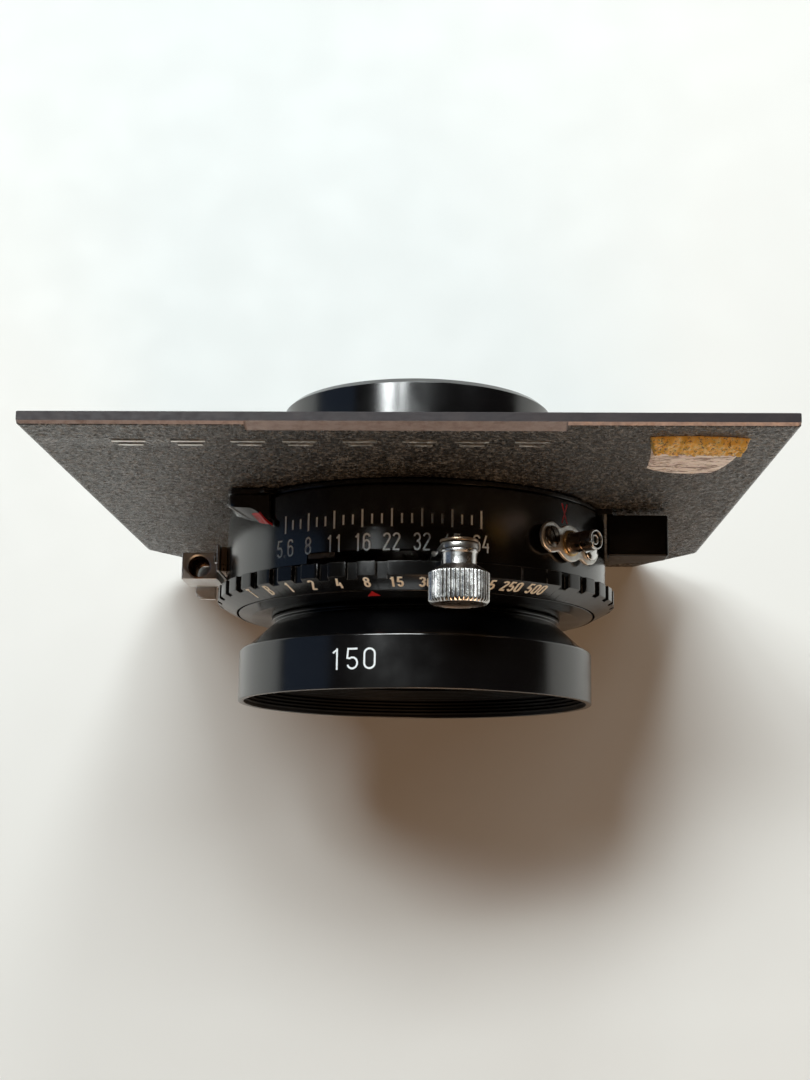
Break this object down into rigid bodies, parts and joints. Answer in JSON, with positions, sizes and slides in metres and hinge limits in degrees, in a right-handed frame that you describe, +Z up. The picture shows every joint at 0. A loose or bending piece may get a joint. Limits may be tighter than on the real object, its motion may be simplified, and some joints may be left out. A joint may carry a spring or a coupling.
{
  "type": "large-format lens in leaf shutter on lens board",
  "caption": "View camera lens in a leaf shutter on its flat lens board, with speed ring, aperture levers, cocking lever, release lever, iris and shutter blades.",
  "frame": {"origin": "where the optical axis meets the lens board's rear face", "axes": "-Y points out of the front of the lens, +Y into the camera, +Z up, +X right seen from the front"},
  "size_m": [0.096, 0.046, 0.099],
  "materials": {
    "crackle_paint": "dark grey crackle paint",
    "label_paper": "torn gummed label",
    "black_paint": "glossy black paint",
    "satin_black": "satin black anodised",
    "chrome": "polished and satin plating",
    "steel": "plain steel",
    "brass": "turned brass",
    "glass": "coated glass",
    "nylon": "dark insulator",
    "blade_black": "dry-lubricated black blade steel"
  },
  "bodies": {
    "lens_unit": {"lens_board": "crackle_paint", "torn_label": "label_paper", "shutter_housing": "black_paint", "retaining_ring": "satin_black", "blade_base_plate": "steel", "mechanism_plate": "steel", "front_cover_plate": "black_paint", "cover_lock_ring": "black_paint", "front_barrel": "satin_black", "front_ring": "satin_black", "front_glass_ring": "satin_black", "front_element": "glass", "front_inner_element": "glass", "rear_barrel": "satin_black", "rear_glass_ring": "satin_black", "rear_element": "glass", "rear_inner_element": "glass", "sync_flange": "chrome", "sync_screw_1": "chrome", "sync_screw_2": "chrome", "sync_barrel": "chrome", "sync_insulator": "nylon", "sync_contact": "brass", "socket_block": "chrome", "socket_plate": "chrome", "socket_spacer": "black_paint", "socket_screw_1": "chrome", "socket_screw_2": "chrome", "release_pivot_pin": "steel", "retard_anchor": "steel", "main_spring": "steel", "spring_post": "steel"},
    "aperture_control": {"aperture_ring": "black_paint", "aperture_index_lever": "black_paint", "aperture_second_lever": "black_paint", "iris_cam_ring": "steel"},
    "speed_dial": {"speed_ring": "black_paint", "speed_cam_plate": "steel"},
    "cocking_control": {"cocking_lever": "steel", "cocking_knob": "chrome", "cocking_knob_rivet": "chrome"},
    "blade_open_control": {"blade_open_lever": "steel"},
    "blade_drive": {"blade_drive_ring": "steel"},
    "release_control": {"release_lever": "chrome"},
    "retard_sector": {"retard_sector": "brass"},
    "retard_wheel": {"retard_wheel": "brass"},
    "retard_star_wheel": {"retard_star_wheel": "brass"},
    "iris_blade_1": {"iris_blade_1": "blade_black"},
    "iris_blade_2": {"iris_blade_2": "blade_black"},
    "iris_blade_3": {"iris_blade_3": "blade_black"},
    "iris_blade_4": {"iris_blade_4": "blade_black"},
    "iris_blade_5": {"iris_blade_5": "blade_black"},
    "iris_blade_6": {"iris_blade_6": "blade_black"},
    "iris_blade_7": {"iris_blade_7": "blade_black"},
    "shutter_blade_1": {"shutter_blade_1": "steel"},
    "shutter_blade_2": {"shutter_blade_2": "steel"},
    "shutter_blade_3": {"shutter_blade_3": "steel"},
    "shutter_blade_4": {"shutter_blade_4": "steel"},
    "shutter_blade_5": {"shutter_blade_5": "steel"}
  },
  "joints": [
    {"name": "aperture_turn", "type": "hinge", "parent": "lens_unit", "child": "aperture_control", "pos_m": [0, 0, 0], "axis": [0, 1, 0], "range_deg": [0, 60.8]},
    {"name": "speed_turn", "type": "hinge", "parent": "lens_unit", "child": "speed_dial", "pos_m": [0, 0, 0], "axis": [0, 1, 0], "range_deg": [-48.5, 40.4]},
    {"name": "cocking_swing", "type": "hinge", "parent": "lens_unit", "child": "cocking_control", "pos_m": [0, 0, 0], "axis": [0, 1, 0], "range_deg": [-20, 0], "stiffness_Nm_per_rad": 0.08, "springref_deg": 14.32},
    {"name": "blade_drive_turn", "type": "hinge", "parent": "lens_unit", "child": "blade_drive", "pos_m": [0, 0, 0], "axis": [0, 1, 0], "range_deg": [0, 22], "stiffness_Nm_per_rad": 0.01, "springref_deg": -17.19},
    {"name": "blade_open_swing", "type": "hinge", "parent": "lens_unit", "child": "blade_open_control", "pos_m": [0, 0, 0], "axis": [0, 1, 0], "range_deg": [0, 5.6]},
    {"name": "release_swing", "type": "hinge", "parent": "lens_unit", "child": "release_control", "pos_m": [-0.0206, 0, -0.013], "axis": [0, 1, 0], "range_deg": [-12, 0], "stiffness_Nm_per_rad": 0.003, "springref_deg": 14.32},
    {"name": "retard_sector_spin", "type": "hinge", "parent": "lens_unit", "child": "retard_sector", "pos_m": [0.00752, 0, -0.02067], "axis": [0, 1, 0], "range_deg": [-0.5, 20.5]},
    {"name": "retard_wheel_spin", "type": "hinge", "parent": "lens_unit", "child": "retard_wheel", "pos_m": [-0.00297, 0, -0.0218], "axis": [0, 1, 0], "range_deg": [-40.5, 0.5]},
    {"name": "retard_star_wheel_spin", "type": "hinge", "parent": "lens_unit", "child": "retard_star_wheel", "pos_m": [-0.00879, 0, -0.02017], "axis": [0, 1, 0], "range_deg": [-0.5, 56.5]},
    {"name": "iris_blade_1_swing", "type": "hinge", "parent": "lens_unit", "child": "iris_blade_1", "pos_m": [0.00417, 0, 0.02363], "axis": [0, 1, 0], "range_deg": [-0.2, 27.6]},
    {"name": "iris_blade_2_swing", "type": "hinge", "parent": "lens_unit", "child": "iris_blade_2", "pos_m": [0.02108, 0, 0.01148], "axis": [0, 1, 0], "range_deg": [-0.2, 27.6]},
    {"name": "iris_blade_3_swing", "type": "hinge", "parent": "lens_unit", "child": "iris_blade_3", "pos_m": [0.02211, 0, -0.00932], "axis": [0, 1, 0], "range_deg": [-0.2, 27.6]},
    {"name": "iris_blade_4_swing", "type": "hinge", "parent": "lens_unit", "child": "iris_blade_4", "pos_m": [0.0065, 0, -0.0231], "axis": [0, 1, 0], "range_deg": [-0.2, 27.6]},
    {"name": "iris_blade_5_swing", "type": "hinge", "parent": "lens_unit", "child": "iris_blade_5", "pos_m": [-0.01401, 0, -0.01949], "axis": [0, 1, 0], "range_deg": [-0.2, 27.6]},
    {"name": "iris_blade_6_swing", "type": "hinge", "parent": "lens_unit", "child": "iris_blade_6", "pos_m": [-0.02397, 0, -0.0012], "axis": [0, 1, 0], "range_deg": [-0.2, 27.6]},
    {"name": "iris_blade_7_swing", "type": "hinge", "parent": "lens_unit", "child": "iris_blade_7", "pos_m": [-0.01588, 0, 0.018], "axis": [0, 1, 0], "range_deg": [-0.2, 27.6]},
    {"name": "shutter_blade_1_swing", "type": "hinge", "parent": "lens_unit", "child": "shutter_blade_1", "pos_m": [0.01311, 0, 0.01804], "axis": [0, 1, 0], "range_deg": [-36.2, 0.2]},
    {"name": "shutter_blade_2_swing", "type": "hinge", "parent": "lens_unit", "child": "shutter_blade_2", "pos_m": [0.02121, 0, -0.00689], "axis": [0, 1, 0], "range_deg": [-36.2, 0.2]},
    {"name": "shutter_blade_3_swing", "type": "hinge", "parent": "lens_unit", "child": "shutter_blade_3", "pos_m": [0, 0, -0.0223], "axis": [0, 1, 0], "range_deg": [-36.2, 0.2]},
    {"name": "shutter_blade_4_swing", "type": "hinge", "parent": "lens_unit", "child": "shutter_blade_4", "pos_m": [-0.02121, 0, -0.00689], "axis": [0, 1, 0], "range_deg": [-36.2, 0.2]},
    {"name": "shutter_blade_5_swing", "type": "hinge", "parent": "lens_unit", "child": "shutter_blade_5", "pos_m": [-0.01311, 0, 0.01804], "axis": [0, 1, 0], "range_deg": [-36.2, 0.2]}
  ],
  "couplings": [
    {"joint": "blade_open_swing", "follows": "blade_drive_turn", "ratio": 0.25},
    {"joint": "retard_sector_spin", "follows": "cocking_swing", "ratio": -1},
    {"joint": "retard_wheel_spin", "follows": "cocking_swing", "ratio": 2},
    {"joint": "retard_star_wheel_spin", "follows": "cocking_swing", "ratio": -2.8},
    {"joint": "iris_blade_1_swing", "follows": "aperture_turn", "ratio": 0.45},
    {"joint": "iris_blade_2_swing", "follows": "aperture_turn", "ratio": 0.45},
    {"joint": "iris_blade_3_swing", "follows": "aperture_turn", "ratio": 0.45},
    {"joint": "iris_blade_4_swing", "follows": "aperture_turn", "ratio": 0.45},
    {"joint": "iris_blade_5_swing", "follows": "aperture_turn", "ratio": 0.45},
    {"joint": "iris_blade_6_swing", "follows": "aperture_turn", "ratio": 0.45},
    {"joint": "iris_blade_7_swing", "follows": "aperture_turn", "ratio": 0.45},
    {"joint": "shutter_blade_1_swing", "follows": "blade_drive_turn", "ratio": -1.6364},
    {"joint": "shutter_blade_2_swing", "follows": "blade_drive_turn", "ratio": -1.6364},
    {"joint": "shutter_blade_3_swing", "follows": "blade_drive_turn", "ratio": -1.6364},
    {"joint": "shutter_blade_4_swing", "follows": "blade_drive_turn", "ratio": -1.6364},
    {"joint": "shutter_blade_5_swing", "follows": "blade_drive_turn", "ratio": -1.6364}
  ]
}
